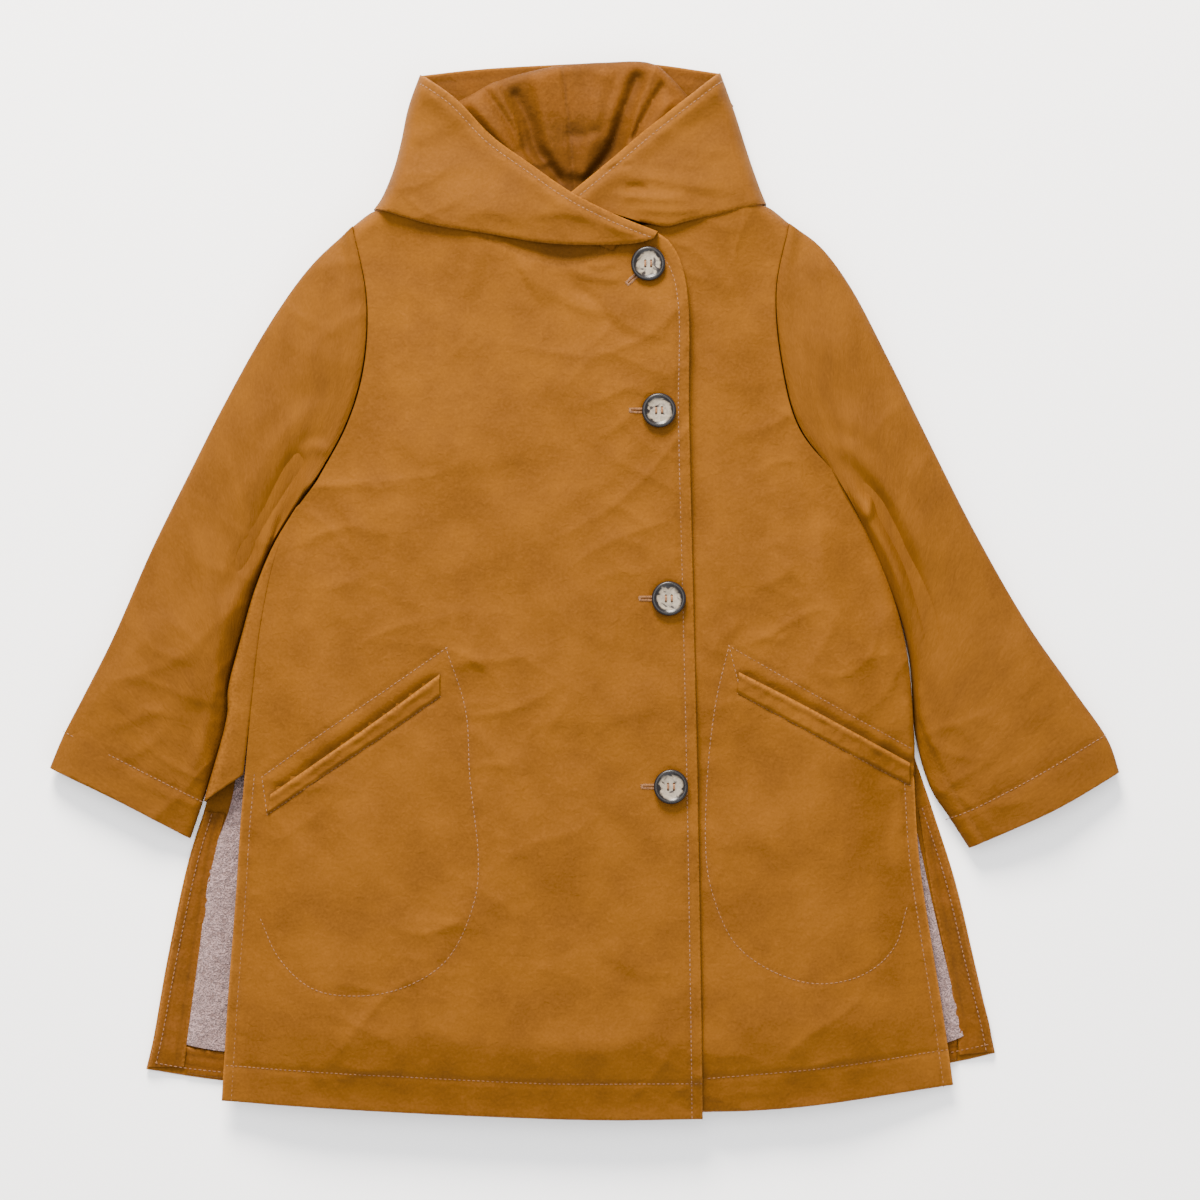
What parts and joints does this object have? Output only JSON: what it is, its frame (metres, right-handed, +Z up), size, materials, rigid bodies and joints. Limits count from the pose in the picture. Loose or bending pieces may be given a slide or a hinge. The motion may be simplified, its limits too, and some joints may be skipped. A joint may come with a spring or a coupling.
{
  "type": "hooded swing coat",
  "caption": "Hooded knee-length A-line coat lying flat on its back, buttoned right over left, with slanted welt pockets, side vents and a curly pile lining.",
  "frame": {"origin": "bottom centre of the coat's bounding box, on the surface it lies on", "axes": "+Z up from that surface, +Y from the hem towards the hood, +X towards the wearer's left sleeve"},
  "size_m": [0.999, 0.9833, 0.0625],
  "materials": {
    "outer_cloth": "matt peached cotton-nylon cloth, ochre brown",
    "facing_cloth": "the same ochre cloth turned to the inside",
    "pile_lining": "curly taupe fleece pile",
    "thread": "tan sewing thread",
    "horn": "polished horn-look button, dark rim and cream centre"
  },
  "bodies": {
    "torso": {"back_shell": "outer_cloth", "back_lining": "pile_lining", "back_hem_facing": "facing_cloth", "back_vent_facing_right": "facing_cloth", "back_vent_facing_left": "facing_cloth", "back_side_right": "outer_cloth", "front_side_right": "outer_cloth", "front_side_left": "outer_cloth", "hood_back": "outer_cloth", "hood_back_lining": "facing_cloth", "hood_crown": "outer_cloth", "hood_pleat_right": "outer_cloth", "hood_pleat_left": "outer_cloth", "hood_corner_right": "outer_cloth", "hood_corner_left": "outer_cloth", "hanger_loop": "facing_cloth"},
    "front_right": {"front_right_panel": "outer_cloth", "buttonhole_band": "outer_cloth", "front_right_facing": "facing_cloth", "front_right_lining": "pile_lining", "front_right_hem_facing": "facing_cloth", "pocket_bag_right": "facing_cloth", "hood_wing_right": "outer_cloth", "hood_wing_facing_right": "facing_cloth"},
    "front_left": {"front_left_panel": "outer_cloth", "front_left_facing": "facing_cloth", "front_left_lining": "pile_lining", "front_left_hem_facing": "facing_cloth", "pocket_bag_left": "facing_cloth", "hood_wing_left": "outer_cloth", "hood_wing_facing_left": "facing_cloth", "button_shank_1": "thread", "button_shank_2": "thread", "button_shank_3": "thread", "button_shank_4": "thread"},
    "welt_right": {"pocket_welt_right": "outer_cloth"},
    "welt_left": {"pocket_welt_left": "outer_cloth"},
    "sleeve_right": {"sleeve_shell_right": "outer_cloth", "sleeve_lining_right": "pile_lining", "cuff_facing_right": "facing_cloth"},
    "sleeve_left": {"sleeve_shell_left": "outer_cloth", "sleeve_lining_left": "pile_lining", "cuff_facing_left": "facing_cloth"},
    "button_1": {"button_1": "horn"},
    "button_2": {"button_2": "horn"},
    "button_3": {"button_3": "horn"},
    "button_4": {"button_4": "horn"}
  },
  "joints": [
    {"name": "front_right_open", "type": "hinge", "parent": "torso", "child": "front_right", "pos_m": [-0.144, 0.35, 0.0514], "axis": [-0.3135, -0.9496, 0], "range_deg": [0, 150], "deforming": ["buttonhole_band", "front_right_facing"]},
    {"name": "front_left_open", "type": "hinge", "parent": "torso", "child": "front_left", "pos_m": [0.118, 0.35, 0.0454], "axis": [-0.341, 0.9401, 0], "range_deg": [0, 135]},
    {"name": "pocket_welt_right_gape", "type": "hinge", "parent": "front_right", "child": "welt_right", "pos_m": [-0.293, -0.207, 0.04677], "axis": [0.8226, 0.5675, 0.0366], "range_deg": [0, 25]},
    {"name": "pocket_welt_left_gape", "type": "hinge", "parent": "front_left", "child": "welt_left", "pos_m": [0.142, -0.096, 0.04711], "axis": [0.8795, -0.474, -0.0413], "range_deg": [0, 25]},
    {"name": "sleeve_right_swing", "type": "hinge", "parent": "torso", "child": "sleeve_right", "pos_m": [-0.217, 0.34, 0.019], "axis": [0, 0, -1], "range_deg": [0, 30]},
    {"name": "sleeve_left_swing", "type": "hinge", "parent": "torso", "child": "sleeve_left", "pos_m": [0.192, 0.343, 0.019], "axis": [0, 0, 1], "range_deg": [0, 30]},
    {"name": "tilt_button_1", "type": "hinge", "parent": "front_left", "child": "button_1", "pos_m": [0.059, 0.303, 0.05093], "axis": [0, 1, 0], "range_deg": [-8, 8], "stiffness_Nm_per_rad": 0.01},
    {"name": "tilt_button_2", "type": "hinge", "parent": "front_left", "child": "button_2", "pos_m": [0.069, 0.167, 0.05674], "axis": [0, 1, 0], "range_deg": [-8, 8], "stiffness_Nm_per_rad": 0.01},
    {"name": "tilt_button_3", "type": "hinge", "parent": "front_left", "child": "button_3", "pos_m": [0.078, -0.007, 0.05747], "axis": [0, 1, 0], "range_deg": [-8, 8], "stiffness_Nm_per_rad": 0.01},
    {"name": "tilt_button_4", "type": "hinge", "parent": "front_left", "child": "button_4", "pos_m": [0.08, -0.181, 0.0579], "axis": [0, 1, 0], "range_deg": [-8, 8], "stiffness_Nm_per_rad": 0.01}
  ],
  "couplings": [
    {"joint": "front_left_open", "follows": "front_right_open", "ratio": 0.9}
  ]
}
